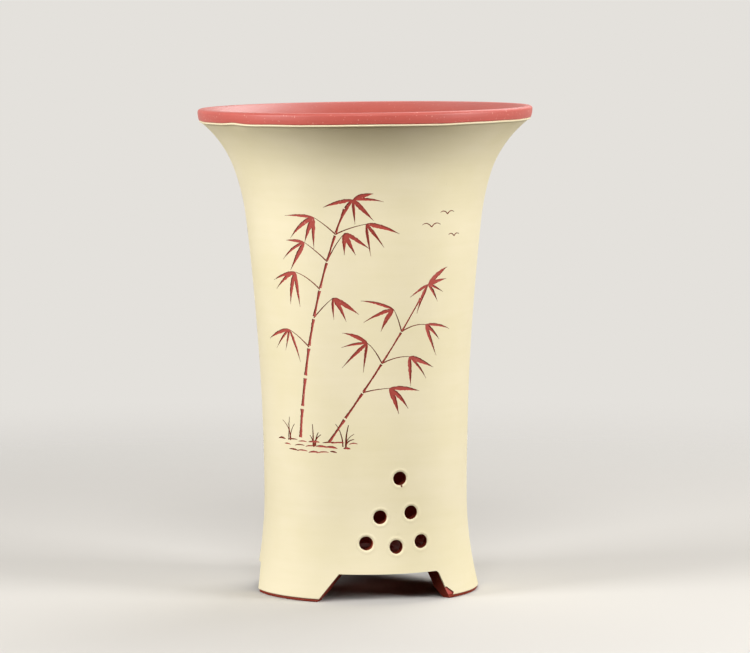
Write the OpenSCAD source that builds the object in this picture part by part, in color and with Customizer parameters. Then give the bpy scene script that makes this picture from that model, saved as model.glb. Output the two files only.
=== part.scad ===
// Tall trumpet-shaped orchid pot of red stoneware under a pale slip coat.
// It stands on three feet, and a triangle of air holes is punched over each notch between them.
// The axis is Z, the soles are at z = 0, and the front notch faces -Y. Lengths are in millimetres.

/* [Outline] */
// Height from the soles to the crest of the lip
pot_h = 240; // [225:1:270]
// Outside radius at the waist, over the slip coat
waist_r = 50.4; // [46:0.1:58]
// Height of the waist above the soles
waist_z = 47; // [38:0.5:60]
// Radius of the curve that runs from the waist down to the soles
foot_curve_r = 190; // [150:1:260]
// Radius of the long curve of the body above the waist
body_curve_r = 1200; // [1000:10:2000]
// Distance below the crest at which the neck curve takes over
neck_drop = 55; // [50:0.5:65]
// Radius of the neck curve
neck_curve_r = 120; // [100:1:150]
// Distance below the crest at which the flare of the mouth takes over
flare_drop = 32.5; // [30:0.5:36]
// Radius of the flare of the mouth
flare_curve_r = 54; // [49:0.5:58]

/* [Clay] */
// Thickness of the red clay wall
clay_t = 5.5; // [4:0.1:7]
// Thickness of the slip coat
slip_t = 0.8; // [0.5:0.1:1.2]
// Thickness of the floor slab
floor_t = 6; // [4:0.5:9]
// Radius of the drain hole
drain_r = 12; // [8:0.5:18]
// Radius of the clay coil pressed into the corner between floor and wall
coil_r = 3.5; // [2:0.5:4.5]

/* [Lip] */
// Height of the bare clay band
lip_h = 5.6; // [4.8:0.1:8]
// Radius that rolls the inside over into the crown
lip_round_r = 2; // [1.6:0.1:2.4]
// Width of the level crown
lip_crown_w = 1.3; // [0.6:0.1:2]
// Radius of the edge between the crown and the face of the band
lip_edge_r = 1.5; // [1:0.1:2]
// How far the face of the band leans in towards its lower edge, in degrees
lip_lean = 9; // [4:1:14]
// Bevel on the lower edge of the band
lip_bevel = 0.8; // [0.4:0.1:1.2]
// Radius of the bead in which the slip ends under the band
bead_r = 1; // [0.8:0.1:1.4]
// How far the bead stands out from the slip coat
bead_proud = 0.5; // [0.3:0.1:0.7]

/* [Feet] */
// Height of the feet, which is the height of the notches
foot_h = 14; // [10:0.5:18]
// Thickness of the clay in a foot
foot_t = 7.7; // [6:0.1:10]
// Thickness of the clay left at the sole by the inner bevel
toe_t = 5; // [3:0.1:6]
// Height of the inner bevel
toe_h = 5; // [3:0.5:8]
// From the middle of a notch to its upper corner on the left, seen from outside, in degrees
notch_left_a = 27; // [20:0.5:32]
// From the middle of a notch to its upper corner on the right, in degrees
notch_right_a = 28.5; // [20:0.5:32]
// Slope of the cut on the left of a notch, in degrees off upright
notch_left_slope = 38; // [0:1:40]
// Slope of the cut on the right of a notch, in degrees off upright
notch_right_slope = 23; // [0:1:40]
// Height above the soles at which the slip coat ends
hem_z = 1.5; // [1:0.5:4]

/* [Air holes] */
// Diameter of an air hole
hole_d = 6.8; // [4:0.1:8]
// Angle between two neighbours in the lowest row, in degrees
hole_pitch = 16; // [12:0.5:18]
// Height of the lowest row above the floor
hole_low_rise = 8.3; // [8.3:0.1:12]
// Height of the middle row above the lowest
hole_mid_rise = 14; // [10:0.5:18]
// Height of the top hole above the middle row
hole_top_rise = 17.7; // [12:0.1:24]
// How far the back group on the right is turned off its notch, in degrees
hole_right_off = 5; // [-8:0.5:8]
// How far the back group on the left is turned off its notch, in degrees
hole_left_off = -4; // [-8:0.5:8]

/* [Hidden] */

// Fineness of the previews. The long curves of the outline are parts of large circles
$fn = 256;
foot_count = 3;
foot_turn = 360 / foot_count;
// The front notch faces this way, and the feet stand between it and its copies
notch_a = -90;

// Surfaces that run into each other cross by this much, so that they never only graze
lap = 0.02;
crest_lap = 0.004;
// Cutters run this far past what they cut
over = 5;

// Heights
floor_z = foot_h + floor_t;
collar_z = pot_h - lip_h;
neck_z = pot_h - neck_drop;
flare_z = pot_h - flare_drop;
hole_z = [floor_z + hole_low_rise,
          floor_z + hole_low_rise + hole_mid_rise,
          floor_z + hole_low_rise + hole_mid_rise + hole_top_rise];

// Centres of the four curves of the outline. Each next curve leaves the one below along its tangent
foot_c = [waist_r + foot_curve_r, waist_z];
body_c = [waist_r + body_curve_r, waist_z];
neck_tilt = asin((neck_z - body_c.y) / body_curve_r);
neck_c = body_c - (body_curve_r - neck_curve_r + lap) * [cos(neck_tilt), -sin(neck_tilt)];
flare_tilt = asin((flare_z - neck_c.y) / neck_curve_r);
flare_c = neck_c - (neck_curve_r - flare_curve_r + lap) * [cos(flare_tilt), -sin(flare_tilt)];

// The crown of the lip rolls off the inner surface of the flare, and a smaller round ends it outside
inner_t = slip_t + clay_t;
crest_reach = flare_curve_r + inner_t - lip_round_r;
crest_z = pot_h - lip_round_r;
crest_c = [flare_c.x - sqrt(pow(crest_reach, 2) - pow(crest_z - flare_c.y, 2)), crest_z];
edge_c = [crest_c.x + lip_crown_w, pot_h - lip_edge_r];
lip_r = edge_c.x + lip_edge_r;
reach_r = lip_r + over;

// Places of the holes of one group. The angles are shares of the pitch, measured from the middle
// of the notch, and the heights are shares of the hole's diameter: the holes are punched by eye
hole_turn_shares = [[-0.8, 0.25, 1.2], [-0.3, 0.82], [0.41]];
hole_rise_shares = [[0.1, -0.19, 0.1], [-0.1, 0.16], [0.05]];
// Turn of each group off its notch, from the front one round to the right
group_off = [0, hole_right_off, hole_left_off];

// Radius of the inner surface of the foot's outline at a height, at a depth under the slip
function foot_r(z, depth) = foot_c.x - sqrt(pow(foot_curve_r + depth, 2) - pow(z - foot_c.y, 2));

// Radius of the flare at a height, at a depth under the slip
function flare_r(z, depth) = flare_c.x - sqrt(pow(flare_curve_r + depth, 2) - pow(z - flare_c.y, 2));

// One stretch of the half outline: all that lies inside a curve, from height z0 to z1
module stretch(z0, z1, centre, curve_r, depth) {
    difference() {
        translate([0, z0]) square([reach_r, z1 - z0]);
        translate(centre) circle(r = curve_r + depth);
    }
}

// Half outline of the pot, shrunk by a depth measured square to the surface
module half_outline(depth) {
    stretch(0, waist_z, foot_c, foot_curve_r, depth);
    stretch(waist_z, pot_h, body_c, body_curve_r, depth);
    stretch(neck_z, pot_h, neck_c, neck_curve_r, depth);
    stretch(flare_z, pot_h, flare_c, flare_curve_r, depth);
}

// Half section of a layer of the wall, between two depths and two heights
module layer(depth_out, depth_in, z0, z1) {
    intersection() {
        difference() {
            half_outline(depth_out);
            half_outline(depth_in);
        }
        translate([0, z0]) square([reach_r, z1 - z0]);
    }
}

// All that lies on the notch's side of one cut, -1 for the left and 1 for the right. The cut slopes away
// from its top edge, which is radial
module notch_side(side) {
    rotate([0, 0, side < 0 ? -notch_left_a : notch_right_a])
        translate([0, 0, foot_h])
            rotate([side < 0 ? -notch_left_slope : notch_right_slope, 0, 0])
                translate([0, (-side - 1) * reach_r, -2 * reach_r])
                    cube([2 * reach_r, 2 * reach_r, 4 * reach_r]);
}

// Wedge that parts two feet, pointing along +X, up to a height
module notch_wedge(top) {
    intersection() {
        notch_side(1);
        notch_side(-1);
        translate([0, -reach_r, -over]) cube([reach_r, 2 * reach_r, top + over]);
    }
}

// All notches between the feet, up to a height
module notches(top) {
    for (k = [0 : foot_count - 1])
        rotate([0, 0, notch_a + k * foot_turn]) notch_wedge(top);
}

// All air holes: rows of three, two and one over each notch. The holes of one group are punched side by side,
// in the direction in which the group faces
module air_holes() {
    for (k = [0 : foot_count - 1], row = [0 : len(hole_z) - 1], i = [0 : len(hole_turn_shares[row]) - 1]) {
        turn = hole_turn_shares[row][i] * hole_pitch;
        rotate([0, 0, notch_a + k * foot_turn + group_off[k]])
            translate([waist_r * cos(turn) - inner_t - over, waist_r * sin(turn),
                       hole_z[row] + hole_rise_shares[row][i] * hole_d])
                rotate([0, 90, 0]) cylinder(d = hole_d, h = inner_t + 3 * over);
    }
}

// Half section of a foot, with the inner side of its toe bevelled
module foot_section() {
    sole = [foot_r(0, slip_t) - toe_t, 0];
    knee = [foot_r(toe_h, slip_t + foot_t), toe_h];
    past = (knee - sole) / 2;
    difference() {
        layer(slip_t, slip_t + foot_t, 0, foot_h);
        polygon([sole - past, knee + past, [sole.x - foot_t - over, (knee + past).y],
                 [sole.x - foot_t - over, (sole - past).y]]);
    }
}

// One foot, at an angle midway between two notches. It is cut out of the foot ring by the notches on both sides
module foot(a) {
    difference() {
        rotate([0, 0, a - foot_turn / 2 + notch_right_a / 2])
            rotate_extrude(angle = foot_turn - (notch_left_a + notch_right_a) / 2) foot_section();
        notches(foot_h + over);
    }
}

module foot_front_left() { color("#7d3328") foot(notch_a - foot_turn / 2); }

module foot_front_right() { color("#7d3328") foot(notch_a + foot_turn / 2); }

module foot_back() { color("#7d3328") foot(notch_a + foot_count * foot_turn / 2); }

module body_wall() {
    color("#a8483a")
        difference() {
            rotate_extrude() layer(slip_t, inner_t, foot_h, collar_z);
            air_holes();
        }
}

// The coat ends in a soft bead under the lip and in a plain hem above the soles
module slip_coat() {
    bead_z = collar_z - bead_r + bead_proud;
    color("#efe3bd")
        difference() {
            rotate_extrude() {
                layer(0, slip_t, hem_z, collar_z);
                difference() {
                    intersection() {
                        translate([flare_r(bead_z, bead_r - bead_proud), bead_z]) circle(r = bead_r);
                        translate([0, flare_z]) square([reach_r, collar_z - flare_z]);
                    }
                    half_outline(slip_t);
                }
            }
            notches(foot_h);
            air_holes();
        }
}

module lip_band() {
    face = [cos(lip_lean), -sin(lip_lean)];
    face_top = edge_c + (lip_edge_r - crest_lap) * face;
    hem_r = face_top.x - (face_top.y - collar_z - lip_bevel) * tan(lip_lean);
    roll = (crest_c - flare_c) / crest_reach;
    inner_r = flare_r(collar_z, inner_t);
    color("#b9503f")
        rotate_extrude() {
            translate(crest_c + crest_lap * roll) circle(r = lip_round_r);
            translate(edge_c) circle(r = lip_edge_r);
            intersection() {
                polygon([crest_c, crest_c + 2 * lip_round_r * roll, [inner_r - over, collar_z],
                         [hem_r - lip_bevel, collar_z], [hem_r, collar_z + lip_bevel], face_top,
                         edge_c, [edge_c.x, pot_h - crest_lap], [crest_c.x, pot_h - crest_lap]]);
                translate(flare_c) circle(r = flare_curve_r + inner_t);
            }
        }
}

module floor_slab() {
    color("#9c4436")
        difference() {
            rotate_extrude()
                intersection() {
                    half_outline(inner_t);
                    translate([0, foot_h]) square([reach_r, floor_t]);
                }
            translate([0, 0, foot_h - over]) cylinder(r = drain_r, h = floor_t + 2 * over);
        }
}

module seam_coil() {
    color("#94402f")
        rotate_extrude()
            intersection() {
                half_outline(inner_t);
                translate([foot_r(floor_z, inner_t), floor_z]) circle(r = coil_r);
                translate([0, floor_z]) square([reach_r, 2 * coil_r]);
            }
}

body_wall();
slip_coat();
lip_band();
floor_slab();
seam_coil();
foot_front_left();
foot_front_right();
foot_back();
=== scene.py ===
"""Finishes a tall orchid pot of red stoneware: its carved slip coat, lip, wall, floor and feet."""

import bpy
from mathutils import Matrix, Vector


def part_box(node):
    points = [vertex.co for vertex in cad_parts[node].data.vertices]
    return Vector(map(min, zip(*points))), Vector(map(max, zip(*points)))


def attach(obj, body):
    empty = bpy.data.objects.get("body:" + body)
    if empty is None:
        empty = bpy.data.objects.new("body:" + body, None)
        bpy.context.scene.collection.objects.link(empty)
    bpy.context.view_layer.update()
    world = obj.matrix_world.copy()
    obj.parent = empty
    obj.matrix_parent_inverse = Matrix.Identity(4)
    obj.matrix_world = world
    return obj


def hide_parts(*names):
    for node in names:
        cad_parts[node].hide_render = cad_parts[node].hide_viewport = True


bl_info = {
    "name": "Orchid Pot Finishing",
    "version": (1, 0, 0),
    "blender": (4, 5, 0),
    "location": "3D View > Sidebar > Orchid Pot",
    "description": "Models the thrown, coated and carved surfaces of a red stoneware orchid pot",
    "category": "Object",
}

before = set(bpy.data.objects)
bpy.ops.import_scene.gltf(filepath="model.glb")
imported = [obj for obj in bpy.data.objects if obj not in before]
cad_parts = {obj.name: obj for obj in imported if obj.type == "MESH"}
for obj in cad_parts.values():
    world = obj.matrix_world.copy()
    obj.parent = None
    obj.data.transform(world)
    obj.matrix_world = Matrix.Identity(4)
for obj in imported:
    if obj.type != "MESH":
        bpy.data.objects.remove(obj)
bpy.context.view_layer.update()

import math
import random
from collections import namedtuple

import bmesh
import bpy
from bpy.props import FloatProperty, FloatVectorProperty, IntProperty, PointerProperty
from mathutils import Matrix, Vector, noise

MM = 0.001

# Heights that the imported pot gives
CREST_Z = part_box("lip_band")[1].z
COLLAR_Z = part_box("lip_band")[0].z
FLOOR_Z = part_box("floor_slab")[1].z
FOOT_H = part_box("floor_slab")[0].z
HEM_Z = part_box("slip_coat")[0].z

# The outline of the pot, over the slip coat
WAIST_R = 50.4 * MM
WAIST_Z = 47 * MM
FOOT_CURVE_R = 190 * MM
BODY_CURVE_R = 1200 * MM
NECK_Z = CREST_Z - 55 * MM
NECK_CURVE_R = 120 * MM
FLARE_Z = CREST_Z - 32.5 * MM
FLARE_CURVE_R = 54 * MM

# The lip: lean of its face, the round inside, the level crown and the edge outside
LIP_LEAN = math.radians(9)
ROLL_R = 2 * MM
CROWN_W = 1.3 * MM
EDGE_R = 1.5 * MM

# Thicknesses
SLIP_T = 0.8 * MM
INNER_T = SLIP_T + 5.5 * MM
FOOT_T = 7.7 * MM
TOE_T = 5 * MM
TOE_H = 5 * MM

# Three feet. A notch parts each two, and the front notch faces -Y. Its left is the left seen from outside
FOOT_COUNT = 3
FOOT_TURN = math.tau / FOOT_COUNT
NOTCH_A = math.radians(-90)
LEFT, RIGHT = -1, 1
CORNER_A = {LEFT: math.radians(-27), RIGHT: math.radians(28.5)}
CUT_SLOPE = {LEFT: math.radians(38), RIGHT: math.radians(23)}
CUT_TURN = {LEFT: math.radians(5.5), RIGHT: 0}

# A triangle of air holes over each notch: turns are shares of the pitch, rises shares of the diameter.
# The back groups are turned a little off their notches
GROUP_OFF = (0, math.radians(5), math.radians(-4))
HOLE_R = 3.4 * MM
HOLE_PITCH = math.radians(16)
HOLE_ROWS = (
    (FLOOR_Z + 8.3 * MM, ((-0.8, 0.1), (0.25, -0.19), (1.2, 0.1))),
    (FLOOR_Z + 22.3 * MM, ((-0.3, -0.1), (0.82, 0.16))),
    (FLOOR_Z + 40 * MM, ((0.41, 0.05),)),
)

# How finely the surfaces are divided
AROUND = 288
FINE_STEP = 1.3 * MM
PLAIN_STEP = 5 * MM
# Height within which a face counts as level with an edge
HAIR = 0.1 * MM


def next_centre(centre, radius, tilt, new_radius):
    """Centre of a curve that leaves another one along its tangent."""
    step = radius - new_radius
    return (centre[0] - step * math.cos(tilt), centre[1] + step * math.sin(tilt))


def outline_curves():
    """The four curves of the outline from the soles up: centre, radius, first and last angle."""
    foot_c = (WAIST_R + FOOT_CURVE_R, WAIST_Z)
    body_c = (WAIST_R + BODY_CURVE_R, WAIST_Z)
    neck_tilt = math.asin((NECK_Z - WAIST_Z) / BODY_CURVE_R)
    neck_c = next_centre(body_c, BODY_CURVE_R, neck_tilt, NECK_CURVE_R)
    flare_tilt = math.asin((FLARE_Z - neck_c[1]) / NECK_CURVE_R)
    flare_c = next_centre(neck_c, NECK_CURVE_R, flare_tilt, FLARE_CURVE_R)
    return (
        (foot_c, FOOT_CURVE_R, -math.pi / 2, 0),
        (body_c, BODY_CURVE_R, 0, neck_tilt),
        (neck_c, NECK_CURVE_R, neck_tilt, flare_tilt),
        (flare_c, FLARE_CURVE_R, flare_tilt, math.pi / 2),
    )


CURVES = outline_curves()
FLARE_C = CURVES[-1][0]


def outline(depth, low, high, step):
    """Points (radius, height) up the outline at a depth under its surface, from one height to another."""
    points = []
    for (centre_r, centre_z), radius, start, end in CURVES:
        reach = radius + depth
        first = max(start, math.asin(max(-1, min(1, (low - centre_z) / reach))))
        last = min(end, math.asin(max(-1, min(1, (high - centre_z) / reach))))
        if last <= first:
            continue
        count = max(1, math.ceil((last - first) * reach / step))
        for k in range(1 if points else 0, count + 1):
            angle = first + (last - first) * k / count
            points.append((centre_r - reach * math.cos(angle), centre_z + reach * math.sin(angle)))
    return points


def outline_r(z, depth=0):
    """Radius of the outline at a height, at a depth under its surface."""
    for (centre_r, centre_z), radius, start, end in CURVES:
        reach = radius + depth
        share = (z - centre_z) / reach
        if abs(share) <= 1 and start <= math.asin(share) <= end:
            return centre_r - reach * math.cos(math.asin(share))
    raise ValueError(f"the outline doesn't reach {z}")


def arc(centre, radius, first, last, segments):
    """Points (radius, height) along an arc, without its first point."""
    angles = [first + (last - first) * k / segments for k in range(1, segments + 1)]
    return [(centre[0] + radius * math.cos(a), centre[1] + radius * math.sin(a)) for a in angles]


def smooth_step(value, low, high):
    """0 below low, 1 above high, and a soft rise between them."""
    t = max(0, min(1, (value - low) / (high - low)))
    return t * t * (3 - 2 * t)


def linear(hex_colour):
    """Linear colour with alpha from an sRGB hex value."""
    channels = [int(hex_colour[i:i + 2], 16) / 255 for i in (1, 3, 5)]
    return tuple(c / 12.92 if c <= 0.04045 else ((c + 0.055) / 1.055) ** 2.4 for c in channels) + (1.0,)


# Kinds of settings
LENGTH = {"subtype": "DISTANCE", "unit": "LENGTH"}
ANGLE = {"subtype": "ANGLE", "unit": "ROTATION"}
COLOUR = {"subtype": "COLOR", "size": 4}


class PotShapeSettings(bpy.types.PropertyGroup):
    """Sizes of the hand-made details."""

    stray: FloatProperty(
        name="Stray", description="How far the thrown wall strays from a true round",
        default=0.16 * MM, **LENGTH)
    lean: FloatProperty(
        name="Lean", description="How far the thrown body leans over",
        default=math.radians(0.27), **ANGLE)
    rim_shift: FloatProperty(
        name="Rim shift", description="How far the rim stands back over the base",
        default=0.9 * MM, **LENGTH)
    rim_tilt: FloatProperty(
        name="Rim tilt", description="How far the rim is from level",
        default=math.radians(0.55), **ANGLE)
    trim_wave: FloatProperty(
        name="Trim wave", description="How far the trimmed edge of the slip wanders up and down",
        default=0.22 * MM, **LENGTH)
    ring_depth: FloatProperty(
        name="Throwing rings", description="Depth of the finger rings inside the wall",
        default=0.25 * MM, **LENGTH)
    hole_swell: FloatProperty(
        name="Hole swell", description="How far the slip stands up round each air hole",
        default=0.16 * MM, **LENGTH)
    corner_r: FloatProperty(
        name="Notch corner", description="Rounding of the upper right corner of each notch",
        default=1.6 * MM, **LENGTH)


class BambooSettings(bpy.types.PropertyGroup):
    """The bamboo that is carved through the slip."""

    cane_w: FloatProperty(
        name="Cane width", description="Width of the cut of the tall cane", default=1.8 * MM, **LENGTH)
    leaf_l: FloatProperty(
        name="Leaf length", description="Usual length of a leaf", default=14.5 * MM, **LENGTH)
    leaf_w: FloatProperty(
        name="Leaf width", description="Width of a leaf at its widest", default=2.1 * MM, **LENGTH)
    grass_l: FloatProperty(
        name="Grass length", description="Usual length of a blade of grass", default=10 * MM, **LENGTH)
    ground_w: FloatProperty(
        name="Ground width", description="Width of the level strokes that draw the ground",
        default=0.95 * MM, **LENGTH)
    line_w: FloatProperty(
        name="Line width", description="Width of twigs, grass and birds", default=0.65 * MM, **LENGTH)
    tear: FloatProperty(
        name="Tear", description="Length over which the edge of a cut wanders in and out",
        default=0.75 * MM, **LENGTH)
    seed: IntProperty(name="Seed", description="Variation of the strokes", default=11)


class ClaySettings(bpy.types.PropertyGroup):
    """Colours of the slip and the clay, as linear values of their sRGB colours."""

    slip: FloatVectorProperty(name="Slip", description="Cream slip", default=linear("#F3E8C7"), **COLOUR)
    slip_warm: FloatVectorProperty(
        name="Slip, thick", description="Slip where it lies thick", default=linear("#EDE2BB"), **COLOUR)
    lip: FloatVectorProperty(
        name="Lip", description="Burnished clay of the lip", default=linear("#CB5D51"), **COLOUR)
    clay: FloatVectorProperty(
        name="Clay", description="Smooth clay inside the pot", default=linear("#BA5245"), **COLOUR)
    scraped_clay: FloatVectorProperty(
        name="Scraped clay", description="Clay where the slip is scraped off it",
        default=linear("#B74B40"), **COLOUR)
    cut_clay: FloatVectorProperty(
        name="Cut clay", description="Clay where a knife has cut it",
        default=linear("#8E3524"), **COLOUR)


class StageSettings(bpy.types.PropertyGroup):
    """Camera, lamps and floor."""

    azimuth: FloatProperty(
        name="Azimuth", description="Direction of the camera, from the front notch",
        default=math.radians(-13), **ANGLE)
    distance: FloatProperty(
        name="Distance", description="From the pot's axis to the camera, along the floor",
        default=2.0244, **LENGTH)
    height: FloatProperty(
        name="Height", description="Height of the camera above the floor", default=0.311, **LENGTH)
    pitch: FloatProperty(
        name="Pitch", description="How far the camera looks down", default=math.radians(5.097), **ANGLE)
    roll: FloatProperty(
        name="Roll", description="How far the camera leans", default=math.radians(-0.1), **ANGLE)
    aside: FloatProperty(
        name="Aside", description="How far the camera stands to the right of the pot's axis",
        default=4.6 * MM, **LENGTH)
    lens: FloatProperty(
        name="Lens", description="Focal length in millimetres on a sensor 36 mm wide", default=196.4)
    floor: FloatVectorProperty(
        name="Floor", description="Colour of the floor", default=linear("#D2CFCA"), **COLOUR)
    room: FloatVectorProperty(
        name="Room", description="Colour of the room", default=linear("#E4E1DC"), **COLOUR)
    lamp_power: FloatProperty(
        name="Lamp power", description="Power of a lamp whose share is 1", default=14, unit="POWER")


def settings(name):
    """One of the add-on's groups of settings."""
    return getattr(bpy.context.scene, name)


def add_node(tree, kind, values=None, links=None, **options):
    """Adds one shader node with its options, its sockets' values and what feeds its sockets. A node given
    there feeds its first output in use."""
    item = tree.nodes.new("ShaderNode" + kind)
    for key, value in options.items():
        setattr(item, key, value)
    for socket, value in (values or {}).items():
        item.inputs[socket].default_value = value
    for socket, source in (links or {}).items():
        if isinstance(source, bpy.types.Node):
            source = next(output for output in source.outputs if output.enabled)
        tree.links.new(source, item.inputs[socket])
    return item


def new_material(name):
    """An empty node material, with its tree."""
    material = bpy.data.materials.new(name)
    material.use_nodes = True
    material.node_tree.nodes.clear()
    return material, material.node_tree


def add_surface(tree, colour, gloss, grain, gleam):
    """Ends a material in the principled shader. Its gleam is the shader's specular level."""
    fired_clay_ior = 1.5
    surface = add_node(tree, "BsdfPrincipled", {"IOR": fired_clay_ior, "Specular IOR Level": gleam},
                       {"Base Color": colour, "Roughness": gloss, "Normal": grain})
    add_node(tree, "OutputMaterial", links={"Surface": surface})


def brushed_slip():
    """Cream slip, brushed on and dried matt: soft clouds where it lies thicker, brush lines round the pot
    and a fine grain."""
    name = "brushed_cream_slip"
    if name in bpy.data.materials:
        return bpy.data.materials[name]
    cloud_size, brush_line_w = 38 * MM, 3.5 * MM
    # The real grit is finer. This is as fine as the picture shows
    grit_size, grit_colour = 0.55 * MM, linear("#B9A27A")
    ripple_depth, grain_depth = 0.4 * MM, 0.12 * MM
    material, tree = new_material(name)
    clay = settings("pot_clay")
    place = add_node(tree, "TexCoord").outputs["Object"]
    clouds = add_node(tree, "TexNoise", {"Scale": 1 / cloud_size, "Detail": 3.0, "Roughness": 0.55},
                      {"Vector": place})
    # Brush lines run round the pot, so they are short in height and long round it
    level_scale, line_share = 0.12, 0.35
    flat = add_node(tree, "Mapping", {"Scale": (level_scale, level_scale, 1.0)}, {"Vector": place})
    lines = add_node(tree, "TexNoise", {"Scale": 1 / brush_line_w, "Detail": 2.0}, {"Vector": flat})
    thick = add_node(tree, "Math", {1: line_share}, {0: lines, 2: clouds}, operation="MULTIPLY_ADD")
    share = add_node(tree, "MapRange", {"From Min": 0.45, "From Max": 0.95}, {"Value": thick})
    base = add_node(tree, "Mix", {"A": clay.slip, "B": clay.slip_warm},
                    {"Factor": share}, data_type="RGBA")
    grit = add_node(tree, "TexNoise", {"Scale": 1 / grit_size, "Detail": 2.0, "Roughness": 0.6},
                    {"Vector": place})
    specks = add_node(tree, "MapRange", {"From Min": 0.72, "From Max": 0.8, "To Max": 0.5},
                      {"Value": grit})
    speckled = add_node(tree, "Mix", {"B": grit_colour}, {"Factor": specks, "A": base}, data_type="RGBA")
    gloss = add_node(tree, "MapRange", {"To Min": 0.58, "To Max": 0.72}, {"Value": clouds})
    ripple = add_node(tree, "Bump", {"Strength": 0.1, "Distance": ripple_depth}, {"Height": lines})
    grain = add_node(tree, "Bump", {"Strength": 0.14, "Distance": grain_depth},
                     {"Height": grit, "Normal": ripple})
    add_surface(tree, speckled, gloss, grain, gleam=0.12)
    return material


def red_stoneware(name, colour, roughness, gleam, grain_size, grain_depth, fleck_colour, fleck_share):
    """Red stoneware fired bare: a sandy grain, soft clouds of iron and small flecks."""
    if name in bpy.data.materials:
        return bpy.data.materials[name]
    cloud_size, sand_and_glint_size = 16 * MM, 0.9 * MM
    shade, smoother, rougher = 0.8, roughness - 0.06, roughness + 0.1
    material, tree = new_material(name)
    place = add_node(tree, "TexCoord").outputs["Object"]
    clouds = add_node(tree, "TexNoise", {"Scale": 1 / cloud_size, "Detail": 4.0, "Roughness": 0.6},
                      {"Vector": place})
    dark = tuple(c * shade for c in colour[:3]) + (1.0,)
    base = add_node(tree, "Mix", {"A": dark, "B": tuple(colour)}, {"Factor": clouds}, data_type="RGBA")
    grit = add_node(tree, "TexNoise", {"Scale": 1 / grain_size, "Detail": 3.0, "Roughness": 0.65},
                    {"Vector": place})
    # The flecks are sand grains. On the lip their pale colour also paints glints of its gloss
    sand_and_glints = add_node(tree, "TexNoise", {"Scale": 1 / sand_and_glint_size, "Detail": 0.0}, {"Vector": place})
    flecks = add_node(tree, "MapRange", {"From Min": 0.75, "From Max": 0.8, "To Max": fleck_share},
                      {"Value": sand_and_glints})
    flecked = add_node(tree, "Mix", {"B": fleck_colour}, {"Factor": flecks, "A": base}, data_type="RGBA")
    gloss = add_node(tree, "MapRange", {"To Min": smoother, "To Max": rougher}, {"Value": grit})
    grain = add_node(tree, "Bump", {"Strength": 0.35, "Distance": grain_depth}, {"Height": grit})
    add_surface(tree, flecked, gloss, grain, gleam)
    return material


def burnished_clay():
    """Stoneware of the lip, rubbed smooth while damp: a satin gloss broken up by pale flecks, partly sand
    and partly painted glints of the gloss on the grains.
    """
    # The pale flecks here are partly sand and partly painted glints of the gloss
    return red_stoneware("burnished_red_stoneware", settings("pot_clay").lip, roughness=0.44, gleam=0.5,
                         grain_size=0.8 * MM, grain_depth=0.12 * MM,
                         fleck_colour=linear("#E9A79A"), fleck_share=0.6)


def wiped_clay():
    """Stoneware inside the pot, wiped with a wet sponge: smooth, a little duller than the lip."""
    return red_stoneware("sponged_red_stoneware", settings("pot_clay").clay, roughness=0.36, gleam=0.5,
                         grain_size=0.9 * MM, grain_depth=0.12 * MM,
                         fleck_colour=linear("#D98C7C"), fleck_share=0.2)


def scraped_clay():
    """Stoneware bared by scraping the slip away: brick red and matt, with a coarse broken grain."""
    return red_stoneware("scraped_red_stoneware", settings("pot_clay").scraped_clay, roughness=0.62,
                         gleam=0.35, grain_size=0.6 * MM, grain_depth=0.2 * MM,
                         fleck_colour=linear("#DDA290"), fleck_share=0.5)


def cut_clay():
    """Stoneware where the knife went through it: dark, dry and torn open, with hardly any gloss. On thin
    scratches the same dark colour is also painted shade of the narrow groove.
    """
    return red_stoneware("knife_cut_red_stoneware", settings("pot_clay").cut_clay, roughness=0.74,
                         gleam=0.15, grain_size=0.7 * MM, grain_depth=0.3 * MM,
                         fleck_colour=linear("#C07B68"), fleck_share=0.5)


def spun(section, turn=math.tau, steps=AROUND):
    """Mesh of a closed section (radius, height) that is turned about the pot's axis."""
    bm = bmesh.new()
    ring = [bm.verts.new((r, 0, z)) for r, z in section]
    edges = [bm.edges.new(pair) for pair in zip(ring, ring[1:] + ring[:1])]
    whole = turn == math.tau
    if not whole:
        bm.faces.new(ring)
    bmesh.ops.spin(bm, geom=ring + edges + bm.faces[:], cent=(0, 0, 0), axis=(0, 0, 1),
                   angle=turn, steps=steps, use_merge=whole)
    bmesh.ops.recalc_face_normals(bm, faces=bm.faces)
    return bm


def made_object(bm, name, *materials):
    """Object of a finished mesh, at the origin."""
    mesh = bpy.data.meshes.new(name)
    bm.to_mesh(mesh)
    bm.free()
    piece = bpy.data.objects.new(name, mesh)
    for material in materials:
        mesh.materials.append(material)
    bpy.context.scene.collection.objects.link(piece)
    return piece


def faces_out(face):
    """Whether a face looks away from the pot's axis."""
    return face.normal.dot(face.center * Vector((1, 1, 0))) > 0


def cut_out(piece, cutters):
    """Cuts the cutters out of a piece and deletes them. The cut faces keep the cutters' material."""
    group = bpy.data.collections.new("cutters")
    for cutter in cutters:
        group.objects.link(cutter)
    modifier = piece.modifiers.new("cut", "BOOLEAN")
    modifier.operation = "DIFFERENCE"
    modifier.solver = "MANIFOLD"
    modifier.operand_type = "COLLECTION"
    modifier.collection = group
    modifier.material_mode = "TRANSFER"
    finished = bpy.data.meshes.new_from_object(piece.evaluated_get(bpy.context.evaluated_depsgraph_get()))
    if len(finished.polygons) == 0:
        raise RuntimeError(f"the cut took all of {piece.name}")
    piece.modifiers.clear()
    before = piece.data
    piece.data = finished
    bpy.data.meshes.remove(before)
    for cutter in cutters:
        bpy.data.objects.remove(cutter)
    bpy.data.collections.remove(group)


def facing(angle, z=0):
    """Turns +X outwards at an angle round the pot, at a height."""
    return Matrix.Rotation(angle, 4, "Z") @ Matrix.Translation((0, 0, z))


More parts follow.
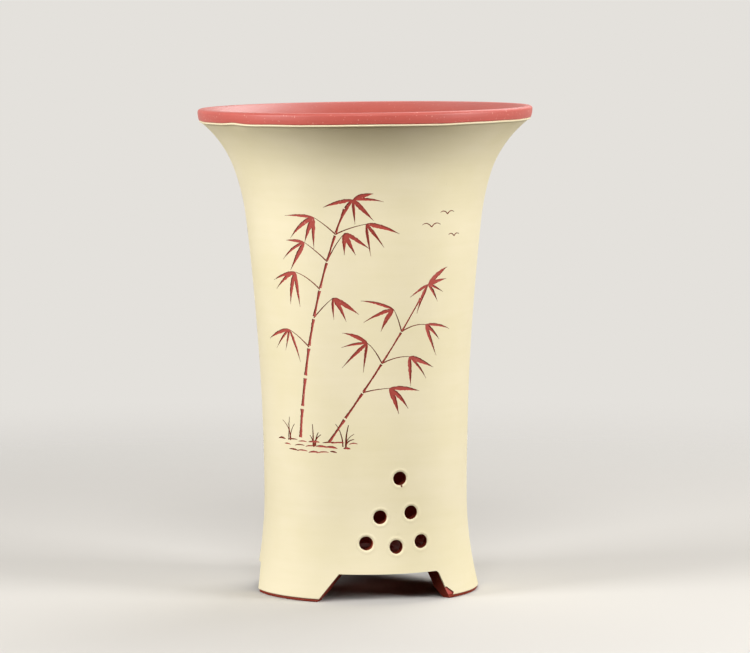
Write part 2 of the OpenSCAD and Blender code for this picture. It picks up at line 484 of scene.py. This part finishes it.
def bend_form(bm):
    """Moves every point from the ideal pot to the thrown one, so that pieces that meet still do."""
    shape = settings("pot_shape")
    side = settings("pot_stage").azimuth
    right = Vector((math.cos(side), math.sin(side), 0))
    # The wall strays in wide and in narrow swellings, and not at the foot
    wide, narrow, narrow_share = 55 * MM, 17 * MM, 0.35
    steady_h = 25 * MM
    # The trimmed edge wanders in slow and in quick waves, which fade out below and above it
    trim_low, trim_high = 5 * MM, 4 * MM
    slow, quick, quick_share = 2.1, 6.3, 0.6
    high_side = 60 * MM
    # Where the trimming knife skipped, to the left of the view's middle
    skip_a = NOTCH_A + side - math.radians(51)
    skip_way = Vector((math.cos(skip_a), math.sin(skip_a), 0))
    skip_width, trim_skip = math.radians(4), 0.5 * MM
    for vert in bm.verts:
        place = vert.co.copy()
        out = Vector((place.x, place.y, 0)).normalized()
        stray = noise.noise(place / wide) + narrow_share * noise.noise(place / narrow)
        vert.co += out * stray * shape.stray * smooth_step(place.z, 0, steady_h)
        over = smooth_step(place.z, FLARE_Z, CREST_Z)
        vert.co += right * (shape.rim_shift * over - math.tan(shape.lean) * place.z)
        # The rim sinks from its high side, so that the pot keeps its height
        fall = math.tan(shape.rim_tilt) * (place.dot(right) - high_side)
        vert.co.z += fall * smooth_step(place.z, NECK_Z, CREST_Z)
        near_trim = (smooth_step(place.z, COLLAR_Z - trim_low, COLLAR_Z)
                     * (1 - smooth_step(place.z, COLLAR_Z, COLLAR_Z + trim_high)))
        wave = noise.noise(out * slow) + quick_share * noise.noise(out * quick)
        from_skip = math.acos(max(-1, min(1, out.dot(skip_way)))) / skip_width
        skip = trim_skip * math.exp(-from_skip ** 2)
        vert.co.z += (shape.trim_wave * wave + skip) * near_trim


def finish_piece(piece, node, sharp_angle=math.radians(32)):
    """Gives a piece the thrown form, smooth faces with sharp folds, and its place on the pot."""
    weld = 0.002 * MM
    bm = bmesh.new()
    bm.from_mesh(piece.data)
    bmesh.ops.remove_doubles(bm, verts=bm.verts, dist=weld)
    bend_form(bm)
    for face in bm.faces:
        face.smooth = True
    for edge in bm.edges:
        if len(edge.link_faces) == 2 and edge.calc_face_angle() > sharp_angle:
            edge.smooth = False
    bm.to_mesh(piece.data)
    bm.free()
    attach(piece, "root")
    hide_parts(node)


def hole_places():
    """Direction in which each air hole is punched, its place aside from that, and its height."""
    for k, off in enumerate(GROUP_OFF):
        for z, holes in HOLE_ROWS:
            for turn, rise in holes:
                aside = WAIST_R * math.sin(turn * HOLE_PITCH)
                yield NOTCH_A + k * FOOT_TURN + off, aside, z + rise * 2 * HOLE_R


def hole_cutters(material):
    """The punch of every air hole. It runs through the wall in the direction in which its notch faces."""
    length, sides = 40 * MM, 48
    lying = Matrix.Rotation(math.pi / 2, 4, "Y")
    cutters = []
    for angle, aside, z in hole_places():
        punch = bmesh.new()
        place = facing(angle, z) @ Matrix.Translation((WAIST_R, aside, 0)) @ lying
        bmesh.ops.create_cone(punch, cap_ends=True, segments=sides, radius1=HOLE_R, radius2=HOLE_R,
                              depth=length, matrix=place)
        cutters.append(made_object(punch, "punch", material))
    return cutters


def notch_cutters(material):
    """The wedges that part the feet. Each one's upper right corner is rounded."""
    near, far, below = 20 * MM, 80 * MM, 4 * MM
    corner_steps = 6
    cutters = []
    for k in range(FOOT_COUNT):
        wedge = bmesh.new()
        bmesh.ops.create_cube(wedge, size=1)
        rounded = []
        for vert in wedge.verts:
            side = RIGHT if vert.co.y > 0 else LEFT
            drop = 0 if vert.co.z > 0 else FOOT_H + below
            if side == RIGHT and drop == 0:
                rounded.append(vert)
            along = far if vert.co.x > 0 else near
            turned = (along - WAIST_R) * math.tan(CUT_TURN[side])
            spread = side * drop * math.tan(CUT_SLOPE[side]) - turned
            vert.co = Matrix.Rotation(CORNER_A[side], 4, "Z") @ Vector((along, spread, FOOT_H - drop))
        corner = [edge for edge in rounded[0].link_edges if rounded[1] in edge.verts]
        bmesh.ops.bevel(wedge, geom=corner, offset=settings("pot_shape").corner_r, affect="EDGES",
                        segments=corner_steps, profile=0.5, material=-1)
        bmesh.ops.transform(wedge, matrix=facing(NOTCH_A + k * FOOT_TURN), verts=wedge.verts)
        bmesh.ops.recalc_face_normals(wedge, faces=wedge.faces)
        cutters.append(made_object(wedge, "wedge", material))
    return cutters


def past_hole_edge(co, level, aside, reach):
    """How far past a hole's edge a point on the coat's outside lies, or None if that is out of reach."""
    local = level @ co
    out = math.hypot(local.y - aside, local.z) - HOLE_R
    if local.x < 0 or abs(out) > reach or math.hypot(co.x, co.y) < outline_r(co.z) - SLIP_T / 2:
        return None
    return out


def swell_at_holes(bm):
    """Divides the coat finely round each air hole. The slip stands up there and rolls in at the edge."""
    swell = settings("pot_shape").hole_swell
    crest_out, crest_w = 0.9 * MM, 0.6 * MM
    roll_in, roll_w = 0.3 * MM, 0.3 * MM
    reach, cuts = 3 * MM, 3
    for angle, aside, z in hole_places():
        level = facing(angle, z).inverted()
        near = [edge for edge in bm.edges
                if all(past_hole_edge(vert.co, level, aside, reach) is not None for vert in edge.verts)]
        bmesh.ops.subdivide_edges(bm, edges=near, cuts=cuts, use_grid_fill=True)
        for vert in bm.verts:
            out = past_hole_edge(vert.co, level, aside, reach)
            if out is None:
                continue
            rise = swell * math.exp(-((out - crest_out) / crest_w) ** 2)
            sink = roll_in * math.exp(-max(0, out) / roll_w)
            vert.co += Vector((vert.co.x, vert.co.y, 0)).normalized() * (rise - sink)


def bezier(curve, t):
    """Place on a bent line that starts in its first point, heads for its second and ends in its third."""
    a, b, c = curve
    return a * (1 - t) ** 2 + b * 2 * t * (1 - t) + c * t ** 2


def part_of(curve, t0, t1):
    """The part of a bent line between two shares of it, as a bent line of its own."""
    a, b, c = curve
    bend = a * (1 - t0) * (1 - t1) + b * (t0 * (1 - t1) + t1 * (1 - t0)) + c * t0 * t1
    return (bezier(curve, t0), bend, bezier(curve, t1))


def leaf_taper(t):
    """Width of a leaf along it: wide near the stalk, with a long tip."""
    tip_power = 0.62
    return math.sin(math.pi * t ** tip_power)


def scratch_taper(t):
    """Width of a scratch along it: it thins towards its end."""
    thinning = 0.6
    return 1 - thinning * t


def cane_taper(t):
    """Width of one length of cane along it: it thickens towards its joints."""
    middle, thickening = 0.8, 0.4
    return middle + thickening * (2 * t - 1) ** 2


def ground_taper(t):
    """Width of a stroke of the ground along it: blunt, and thin at both ends."""
    return math.sqrt(math.sin(math.pi * t))


class Carving:
    """Cuts strokes through the slip. Places are (mm to the right of the view's middle, mm up)."""

    def __init__(self):
        self.look = settings("pot_bamboo")
        self.rng = random.Random(self.look.seed)
        self.middle = NOTCH_A + settings("pot_stage").azimuth
        self.cutters = []

    def vary(self, low, high):
        """The next random value between two others."""
        return self.rng.uniform(low, high)

    def stroke(self, curve, width, taper, material, rough=0.32):
        """Adds the cutter of one stroke of the knife along a bent line."""
        above, finest = 0.6 * MM, 0.2 * MM
        deepest, depth_share = 0.45 * MM, 0.45
        under = min(deepest, width * depth_share)
        # A flat strip takes the stroke's torn outline, is thickened, and is wrapped round the pot
        half_grid, fewest_steps = 0.5, 5
        curve = tuple(Vector(place) * MM for place in curve)
        steps = max(fewest_steps, round((curve[2] - curve[0]).length / self.look.tear))
        bm = bmesh.new()
        bmesh.ops.create_grid(bm, x_segments=steps, y_segments=1, size=half_grid)
        for vert in bm.verts:
            t = vert.co.x + half_grid
            side = vert.co.y / half_grid
            place = bezier(curve, t)
            heading = ((curve[1] - curve[0]) * (1 - t) + (curve[2] - curve[1]) * t).normalized()
            across = Vector((-heading.y, heading.x))
            torn = noise.noise(Vector((place.x, place.y, side * width)) / self.look.tear)
            half = max(width * taper(t) * (1 + rough * torn), finest) / 2
            vert.co = (*(place + across * side * half), 0)
        lifted = bmesh.ops.extrude_face_region(bm, geom=bm.faces[:])
        deep = {item for item in lifted["geom"] if isinstance(item, bmesh.types.BMVert)}
        for vert in bm.verts:
            across, up = vert.co.x, vert.co.y
            radius = outline_r(up)
            reach = radius - under if vert in deep else radius + above
            vert.co = facing(self.middle + across / radius, up) @ Vector((reach, 0, 0))
        bmesh.ops.recalc_face_normals(bm, faces=bm.faces)
        self.cutters.append(made_object(bm, "stroke", material))

    def scratch(self, curve, width=None):
        """Adds a thin line in the dark cut clay. Its darkness is partly the real shade in its narrow cut
        and partly painted shade.
        """
        # The dark cut clay paints the shade of a narrow groove into the line
        self.stroke(curve, width or self.look.line_w, scratch_taper, cut_clay())

    def leaves(self, root, headings):
        """Adds a fan of leaves that hang from the end of a twig."""
        sway, lengths, widths = (-8, 8), (0.7, 1.2), (0.6, 1.15)
        bows_aside, bows_up = (-0.08, 0.08), (0.04, 0.15)
        for heading in headings:
            angle = math.radians(heading + self.vary(*sway))
            length = self.look.leaf_l / MM * self.vary(*lengths)
            tip = root + Vector((math.cos(angle), math.sin(angle))) * length
            bow = Vector((self.vary(*bows_aside), self.vary(*bows_up))) * length
            width = self.look.leaf_w * self.vary(*widths)
            self.stroke((root, (root + tip) / 2 + bow, tip), width, leaf_taper, scraped_clay())

    def cane(self, curve, lengths, width):
        """Adds a cane of several lengths with gaps at its joints, and returns the joints' places."""
        gap, thinning = 0.012, 0.45
        joints = []
        for k in range(lengths):
            start, end = k / lengths + gap / 2, (k + 1) / lengths - gap / 2
            piece = part_of(curve, start, end)
            self.stroke(piece, width * (1 - thinning * start), cane_taper, scraped_clay())
            joints.append(bezier(curve, (k + 1) / lengths))
        return joints

    def twigs(self, joints, table):
        """Adds twigs with leaves at a cane's joints: which joint, the way out of it, the headings."""
        bows = 0.8, 2.6
        for joint, way, headings in table:
            root, tip = joints[joint], joints[joint] + Vector(way)
            bow = Vector((0, self.vary(*bows)))
            self.scratch((root, (root + tip) / 2 + bow, tip))
            self.leaves(tip, headings)

    def tuft(self, root, headings):
        """Adds a tuft of grass that fans out of one root."""
        sway, lengths, widths = (-5, 5), (0.55, 1.2), (0.8, 1.5)
        roots_aside, roots_up, upright_share = (-1, 1), (-0.6, 0.6), 0.55
        for heading in headings:
            angle = math.radians(heading + self.vary(*sway))
            length = self.look.grass_l / MM * self.vary(*lengths)
            start = root + Vector((self.vary(*roots_aside), self.vary(*roots_up)))
            tip = start + Vector((math.cos(angle), math.sin(angle))) * length
            upright = start + Vector((0, length * upright_share))
            self.scratch((start, upright, tip), self.look.line_w * self.vary(*widths))

    def ground(self, middle, spread, rows, count):
        """Draws rows of level, slightly bowed strokes, staggered and shorter towards the lowest row."""
        shorter, stray_aside, stray_up = 0.2, (-1.5, 1.5), (-0.5, 0.5)
        half_lengths, slopes = (1.6, 3.6), (-0.3, 0.3)
        bows, widths = (0.2, 1), (0.6, 1.25)
        for row in range(rows):
            reach = spread[0] * (1 - shorter * row)
            for k in range(count - row):
                share = (k + 0.5) / (count - row) * 2 - 1
                place = Vector((middle[0] + reach * share, middle[1] - spread[1] * row))
                place += Vector((self.vary(*stray_aside), self.vary(*stray_up)))
                half = Vector((self.vary(*half_lengths), self.vary(*slopes)))
                bow = Vector((0, self.vary(*bows)))
                width = self.look.ground_w * self.vary(*widths)
                clay = self.rng.choice((scraped_clay(), cut_clay()))
                self.stroke((place - half, place + bow, place + half), width, ground_taper, clay)

    def bird(self, x, up, span):
        """Adds a bird far off: two bowed lines that meet in its body."""
        bend_out, bend_up, tip_up = 0.45, 0.55, 0.2
        for side in (LEFT, RIGHT):
            bend = (x + side * span * bend_out, up + span * bend_up)
            self.scratch(((x, up), bend, (x + side * span, up + span * tip_up)))


# Places of the carving in mm: to the right of the view's middle, and up. A cane has its bent line and its
# number of lengths. A twig has the joint it leaves, its way out of it, and the headings of its leaves.
# The ground has its middle, its half width and a row's fall, its rows, and its strokes in the first row
TALL_CANE = ((-34, 79), (-29, 142), (-9, 193)), 8
TALL_TWIGS = (
    (2, (-12, 8), (198, 230, 258, 286)),
    (3, (10, 10), (-88, -60, -32)),
    (4, (-14, 8), (192, 222, 252, 280)),
    (5, (9, 14), (-88, -58, -28)),
    (5, (-12, 9), (174, 206, 240)),
    (6, (15, 5), (-78, -46, -16)),
    (6, (-11, 8), (184, 214, 246, 274)),
    (7, (4, 4), (200, 236, -78, -44, -12, 24)),
)
SHORT_CANE = ((-18, 78), (2, 106), (29, 149)), 5
SHORT_TWIGS = (
    (1, (13, 2), (-72, -40, -10)),
    (2, (-7, 10), (152, 188, 222, 258)),
    (2, (14, 3), (-80, -50, -20)),
    (3, (-4, 11), (166, 204, 238)),
    (3, (13, 3), (-70, -38, -8)),
    (4, (4, 6), (-62, -28, 6, 34, 208, 246)),
)
TUFTS = (
    ((-41, 77.5), (68, 84, 104, 122)),
    ((-26, 75.5), (58, 74, 92, 112)),
    ((-10, 76.5), (44, 60, 82, 108)),
)
GROUND = (-26, 78), (24, 2.4), 3, 7
BIRDS = ((35, 183, 5.5), (45, 189, 4.6), (50, 178, 4.0))


def bamboo_cutters():
    """The carved scene: two canes of bamboo with leaves, grass and ground below, and three birds."""
    carving = Carving()
    slender = 0.72
    tall_w = carving.look.cane_w
    for (places, lengths), table, width in (
            (TALL_CANE, TALL_TWIGS, tall_w), (SHORT_CANE, SHORT_TWIGS, tall_w * slender)):
        joints = carving.cane(tuple(Vector(place) for place in places), lengths, width)
        carving.twigs(joints, table)
    for root, headings in TUFTS:
        carving.tuft(Vector(root), headings)
    carving.ground(*GROUND)
    for x, up, span in BIRDS:
        carving.bird(x, up, span)
    return carving.cutters


def flake_cutter():
    """A flake that came off the toe of the front right foot."""
    width, height, depth = 5.2 * MM, 6 * MM, 3 * MM
    from_corner, tilt = math.radians(6.5), math.radians(56)
    toe_z, middle_z, to_corner = 2 * MM, 2.3 * MM, 1.26 * MM
    flake = bmesh.new()
    bmesh.ops.create_cube(flake, size=1)
    toe = facing(NOTCH_A + CORNER_A[RIGHT] + from_corner, middle_z)
    place = toe @ Matrix.Translation((outline_r(toe_z), -to_corner, 0))
    turned = place @ Matrix.Rotation(tilt, 4, "X")
    bmesh.ops.transform(flake, matrix=turned @ Matrix.Diagonal((depth, width, height, 1)),
                        verts=flake.verts)
    return made_object(flake, "flake", scraped_clay())


def nick_cutter():
    """A nick in the slip under the top hole of the front group."""
    radius, stretch, to_right, drop = 0.5 * MM, 1.3, 0.8 * MM, 0.3 * MM
    z, ((turn_share, rise),) = HOLE_ROWS[-1]
    edge_z = z + rise * 2 * HOLE_R - HOLE_R
    aside = WAIST_R * math.sin(turn_share * HOLE_PITCH) + to_right
    nick = bmesh.new()
    bmesh.ops.create_icosphere(nick, subdivisions=2, radius=radius)
    surface = Matrix.Translation((math.sqrt(WAIST_R ** 2 - aside ** 2), aside, -drop))
    place = facing(NOTCH_A, edge_z) @ surface
    bmesh.ops.transform(nick, matrix=place @ Matrix.Diagonal((1, 1, stretch, 1)), verts=nick.verts)
    return made_object(nick, "nick", cut_clay())


def coat_section():
    """Closed section of the slip coat: a soft hem, the outside, the trimmed edge and the inside."""
    hem_r = 0.3 * MM
    # The trimmed edge is proud of the outline, as its middle lies only a share of its radius in
    edge_r, edge_in, edge_start, edge_steps = 0.55 * MM, 0.55, math.radians(-75), 7
    outer = outline(0, HEM_Z + hem_r, COLLAR_Z - 2 * edge_r, FINE_STEP)
    trim_z = COLLAR_Z - edge_r
    trim_c = (outline_r(trim_z) - edge_r * edge_in, trim_z)
    outer += arc(trim_c, edge_r, edge_start, math.pi / 2, edge_steps)
    inner = outline(SLIP_T, HEM_Z, COLLAR_Z, PLAIN_STEP)
    return [(outline_r(HEM_Z) - hem_r, HEM_Z)] + outer + inner[::-1]


class SlipCoat(bpy.types.Operator):
    """Models the slip coat: its trimmed edge, holes and notches, and the bamboo carved through it."""

    bl_idname = "orchid_pot.slip_coat"
    bl_label = "Slip coat"

    def execute(self, context):
        coat = spun(coat_section())
        swell_at_holes(coat)
        piece = made_object(coat, "slip_coat_carved", brushed_slip())
        openings = hole_cutters(brushed_slip()) + notch_cutters(brushed_slip())
        damage = [flake_cutter(), nick_cutter()]
        cut_out(piece, openings + damage + bamboo_cutters())
        finish_piece(piece, "slip_coat")
        return {"FINISHED"}


class ClayWall(bpy.types.Operator):
    """Models the thrown wall under the coat: finger rings inside, scored clay outside, punched holes."""

    bl_idname = "orchid_pot.clay_wall"
    bl_label = "Clay wall"

    def execute(self, context):
        depth = settings("pot_shape").ring_depth
        ring_h, drift_h, drift_start, unevenness = 8 * MM, 21 * MM, (0.4, 0.6), 1.2
        outer_step = 3 * MM
        outer = outline(SLIP_T, FOOT_H, COLLAR_Z, outer_step)
        inner = []
        for r, z in outline(INNER_T, FOOT_H, COLLAR_Z, FINE_STEP):
            fade = smooth_step(z, FLOOR_Z, FLOOR_Z + ring_h) * (1 - smooth_step(z, NECK_Z, COLLAR_Z))
            # No two rings are alike: their depth and their spacing drift with the height
            drift = noise.noise(Vector((*drift_start, z / drift_h)))
            ring = math.sin(math.tau * (z / ring_h + drift))
            inner.append((r + depth * fade * (1 + unevenness * drift) * ring, z))
        piece = made_object(spun(outer + inner[::-1]), "thrown_wall", wiped_clay(), cut_clay())
        for face in piece.data.polygons:
            face.material_index = int(faces_out(face) or face.center.z < FOOT_H + HAIR)
        cut_out(piece, hole_cutters(cut_clay()))
        finish_piece(piece, "body_wall")
        return {"FINISHED"}


class LipBand(bpy.types.Operator):
    """Models the bare band of the lip: a slightly crowned face, a soft crest and a hollow inside."""

    bl_idname = "orchid_pot.lip_band"
    bl_label = "Lip band"

    def execute(self, context):
        low_edge_r, swell, inside_step = 0.5 * MM, 0.12 * MM, 0.9 * MM
        roll_steps, edge_steps, face_steps, low_edge_steps = 8, 10, 5, 4
        reach = FLARE_CURVE_R + INNER_T - ROLL_R
        roll_z = CREST_Z - ROLL_R
        roll_c = (FLARE_C[0] - math.sqrt(reach ** 2 - (roll_z - FLARE_C[1]) ** 2), roll_z)
        meets_inside = math.atan2(roll_c[1] - FLARE_C[1], roll_c[0] - FLARE_C[0])
        inside_top = FLARE_C[1] + (FLARE_CURVE_R + INNER_T) * math.sin(meets_inside)
        section = outline(INNER_T, COLLAR_Z, inside_top, inside_step)
        section += arc(roll_c, ROLL_R, meets_inside, math.pi / 2, roll_steps)
        edge_c = (roll_c[0] + CROWN_W, CREST_Z - EDGE_R)
        section += [(edge_c[0], CREST_Z)] + arc(edge_c, EDGE_R, math.pi / 2, -LIP_LEAN, edge_steps)
        top_r, top_z = section[-1]
        hem_z = COLLAR_Z + low_edge_r
        hem_r = top_r - (top_z - hem_z) * math.tan(LIP_LEAN)
        for k in range(1, face_steps + 1):
            share = k / face_steps
            section.append((top_r + (hem_r - top_r) * share + swell * math.sin(math.pi * share),
                            top_z + (hem_z - top_z) * share))
        section += arc((hem_r - low_edge_r, hem_z), low_edge_r, 0, -math.pi / 2, low_edge_steps)
        piece = made_object(spun(section), "burnished_lip", burnished_clay(), wiped_clay())
        # Inside, the clay is wiped like the wall's, up to the roll
        for face in piece.data.polygons:
            wiped = math.hypot(face.center.x, face.center.y) < roll_c[0] - ROLL_R / 2
            face.material_index = int(wiped and face.center.z > COLLAR_Z + HAIR)
        finish_piece(piece, "lip_band", sharp_angle=math.radians(60))
        return {"FINISHED"}


class PotFloor(bpy.types.Operator):
    """Models the floor slab with its drain hole, and the coil pressed into the corner."""

    bl_idname = "orchid_pot.pot_floor"
    bl_label = "Floor and coil"

    def execute(self, context):
        coil_r = 3.5 * MM
        wall_r = outline_r(FLOOR_Z, INNER_T)
        self.add_floor(wall_r, coil_r)
        self.add_coil(wall_r, coil_r)
        return {"FINISHED"}

    @staticmethod
    def add_floor(wall_r, coil_r):
        """The slab. The fingers leave rings on it too, between the coil and the drain."""
        drain_r, ease, around = 12 * MM, 0.8 * MM, 96
        rings, ring_steps, depth = 5, 8, settings("pot_shape").ring_depth
        wide_r, narrow_r = wall_r - coil_r, drain_r + ease * 2
        low_r = outline_r(FOOT_H, INNER_T)
        section = [(drain_r, FOOT_H + ease), (drain_r + ease, FOOT_H), (low_r, FOOT_H), (wall_r, FLOOR_Z)]
        for k in range(rings * ring_steps + 1):
            share = k / (rings * ring_steps)
            dip = depth * math.sin(math.pi * rings * share) ** 2
            section.append((wide_r + (narrow_r - wide_r) * share, FLOOR_Z - dip))
        section.append((drain_r, FLOOR_Z - ease * 2))
        slab = made_object(spun(section, steps=around), "floor_with_drain", wiped_clay())
        finish_piece(slab, "floor_slab")

    @staticmethod
    def add_coil(wall_r, coil_r):
        """The coil. Its outside follows the wall, and the fingers leave its inside uneven."""
        round_steps, around = 8, 180
        pinch, pinch_l = 0.35 * MM, 6 * MM
        free_r, free_z = wall_r - coil_r / 4, FLOOR_Z + coil_r / 8
        section = [(wall_r, FLOOR_Z), (wall_r - coil_r, FLOOR_Z)]
        for r, z in arc((wall_r, FLOOR_Z), coil_r, math.pi, math.pi / 2, round_steps):
            section.append((min(r, outline_r(z, INNER_T)), z))
        coil = spun(section, steps=around)
        for vert in coil.verts:
            if vert.co.z > free_z and math.hypot(vert.co.x, vert.co.y) < free_r:
                vert.co.z += pinch * noise.noise(vert.co / pinch_l)
        piece = made_object(coil, "pressed_coil", wiped_clay())
        finish_piece(piece, "seam_coil")


class Feet(bpy.types.Operator):
    """Models the three feet as knife-cut lengths of the foot ring, with bevelled toes."""

    bl_idname = "orchid_pot.feet"
    bl_label = "Feet"

    def execute(self, context):
        middles = {
            "foot_front_left": NOTCH_A - FOOT_TURN / 2,
            "foot_front_right": NOTCH_A + FOOT_TURN / 2,
            "foot_back": NOTCH_A + math.pi,
        }
        turn, steps = FOOT_TURN - (CORNER_A[RIGHT] - CORNER_A[LEFT]) / 2, 60
        soft, outer_step, inner_step = 0.5 * MM, 1.5 * MM, 2 * MM
        outer = outline(SLIP_T, soft, FOOT_H, outer_step)
        inner = outline(SLIP_T + FOOT_T, TOE_H, FOOT_H, inner_step)
        sole_r = outline_r(0, SLIP_T)
        section = [(sole_r - TOE_T, 0), (sole_r - soft, 0)] + outer + inner[::-1]
        for node, middle in middles.items():
            foot = spun(section, turn, steps)
            start = middle - FOOT_TURN / 2 + CORNER_A[RIGHT] / 2
            bmesh.ops.transform(foot, matrix=facing(start), verts=foot.verts)
            piece = made_object(foot, node + "_cut", cut_clay(), scraped_clay())
            for face in piece.data.polygons:
                face.material_index = int(faces_out(face) and face.center.z > HEM_Z)
            cut_out(piece, notch_cutters(cut_clay()))
            finish_piece(piece, node)
        return {"FINISHED"}


# Soft lamps. Aside and rise are degrees round from the camera and up from level, the share is that of
# the lamp power, and the rest is in metres
Lamp = namedtuple("Lamp", "aside rise distance width height share")
LAMPS = {
    "left": Lamp(aside=-61, rise=16, distance=1.2, width=0.5, height=0.4, share=0.95),
    "right": Lamp(aside=68, rise=16, distance=1.2, width=0.5, height=0.4, share=0.89),
    "front": Lamp(aside=0, rise=43, distance=1.3, width=0.4, height=0.4, share=0.44),
    "window": Lamp(aside=145, rise=42, distance=1.5, width=1.0, height=0.8, share=0.66),
    "above": Lamp(aside=175, rise=56, distance=1.5, width=1.2, height=0.8, share=0.4),
}


class Stage(bpy.types.Operator):
    """Sets the camera, the soft lamps, the floor and the room."""

    bl_idname = "orchid_pot.stage"
    bl_label = "Stage"

    def execute(self, context):
        stage = settings("pot_stage")
        scene = context.scene
        scene.view_settings.view_transform = "Standard"
        scene.camera = self.add_camera(stage)
        for name, lamp in LAMPS.items():
            self.add_lamp(stage, name, lamp)
        floor_r, floor_sides = 6, 64
        floor = bmesh.new()
        bmesh.ops.create_circle(floor, cap_ends=True, segments=floor_sides, radius=floor_r)
        ground = made_object(floor, "floor", self.floor_paint(stage))
        scene.world = self.room(stage)
        return {"FINISHED"}

    @staticmethod
    def add_camera(stage):
        """The camera, at its place round the pot's axis."""
        sensor_w = 36
        camera = bpy.data.objects.new("camera", bpy.data.cameras.new("camera"))
        camera.data.lens = stage.lens
        camera.data.sensor_width = sensor_w
        turn = Matrix.Rotation(stage.azimuth, 4, "Z")
        stand = Matrix.Translation((stage.aside, -stage.distance, stage.height))
        look = Matrix.Rotation(math.pi / 2 - stage.pitch, 4, "X")
        lean = Matrix.Rotation(stage.roll, 4, "Z")
        camera.matrix_world = turn @ stand @ look @ lean
        bpy.context.scene.collection.objects.link(camera)
        return camera

    @staticmethod
    def add_lamp(stage, name, lamp):
        """One soft lamp that faces the middle of the pot."""
        light = bpy.data.lights.new(name, "AREA")
        light.shape = "RECTANGLE"
        light.size, light.size_y = lamp.width, lamp.height
        light.energy = stage.lamp_power * lamp.share
        bearing, rise = stage.azimuth + math.radians(lamp.aside), math.radians(lamp.rise)
        level = math.cos(rise)
        way = Vector((math.sin(bearing) * level, -math.cos(bearing) * level, math.sin(rise)))
        holder = bpy.data.objects.new(name, light)
        holder.location = Vector((0, 0, CREST_Z / 2)) + way * lamp.distance
        holder.rotation_euler = way.to_track_quat("Z", "Y").to_euler()
        holder.visible_camera = False
        bpy.context.scene.collection.objects.link(holder)

    @staticmethod
    def seen_directly(tree):
        """1 for rays from the camera, off gloss and through glass, and 0 for light that bounces about."""
        path = add_node(tree, "LightPath")
        mirrored = add_node(tree, "Math", operation="ADD",
                            links={0: path.outputs["Is Camera Ray"], 1: path.outputs["Is Glossy Ray"]})
        seen = add_node(tree, "Math", operation="ADD", use_clamp=True,
                        links={0: mirrored, 1: path.outputs["Is Transmission Ray"]})
        return seen

    def floor_paint(self, stage):
        """Pale matt paint that fades into the room further out. It throws little light back up."""
        thrown_back = linear("#332514")
        material, tree = new_material("pale_floor")
        colour = add_node(tree, "Mix", {"A": thrown_back, "B": tuple(stage.floor)},
                          {"Factor": self.seen_directly(tree)}, data_type="RGBA")
        paint = add_node(tree, "BsdfDiffuse", links={"Color": colour})
        place = add_node(tree, "TexCoord").outputs["Object"]
        away = add_node(tree, "VectorMath", links={0: place}, operation="LENGTH")
        fade = add_node(tree, "MapRange", {"From Min": 0.25, "From Max": 0.9},
                        {"Value": away}, interpolation_type="SMOOTHSTEP")
        clear = add_node(tree, "BsdfTransparent")
        both = add_node(tree, "MixShader", links={0: fade, 1: paint, 2: clear})
        add_node(tree, "OutputMaterial", links={"Surface": both})
        return material

    def room(self, stage):
        """Pale room as the camera sees it, which lights the pot only faintly."""
        world = bpy.data.worlds.new("room")
        world.use_nodes = True
        tree = world.node_tree
        tree.nodes.clear()
        faint = add_node(tree, "Background", {"Color": linear("#E6C489"), "Strength": 0.045})
        pale = add_node(tree, "Background", {"Color": stage.room, "Strength": 1.0})
        both = add_node(tree, "MixShader", links={0: self.seen_directly(tree), 1: faint, 2: pale})
        add_node(tree, "OutputWorld", links={"Surface": both})
        return world


class OrchidPotPanel(bpy.types.Panel):
    """Lists the steps that finish the pot, and the sizes and colours that they use."""

    bl_idname = "VIEW3D_PT_orchid_pot"
    bl_label = "Orchid Pot"
    bl_space_type = "VIEW_3D"
    bl_region_type = "UI"
    bl_category = "Orchid Pot"

    def draw(self, context):
        for step in STEPS:
            self.layout.operator(step.bl_idname)
        for name, group in SETTINGS.items():
            for key in group.__annotations__:
                self.layout.prop(getattr(context.scene, name), key)


STEPS = (Stage, SlipCoat, ClayWall, LipBand, PotFloor, Feet)
SETTINGS = {
    "pot_shape": PotShapeSettings,
    "pot_bamboo": BambooSettings,
    "pot_clay": ClaySettings,
    "pot_stage": StageSettings,
}


def register():
    for cls in (*SETTINGS.values(), *STEPS, OrchidPotPanel):
        bpy.utils.register_class(cls)
    for name, cls in SETTINGS.items():
        setattr(bpy.types.Scene, name, PointerProperty(type=cls))


def unregister():
    for name in SETTINGS:
        delattr(bpy.types.Scene, name)
    for cls in (OrchidPotPanel, *reversed(STEPS), *SETTINGS.values()):
        bpy.utils.unregister_class(cls)


def main():
    register()
    for step in STEPS:
        group, name = step.bl_idname.split(".")
        getattr(getattr(bpy.ops, group), name)()


if __name__ == "__main__":
    main()
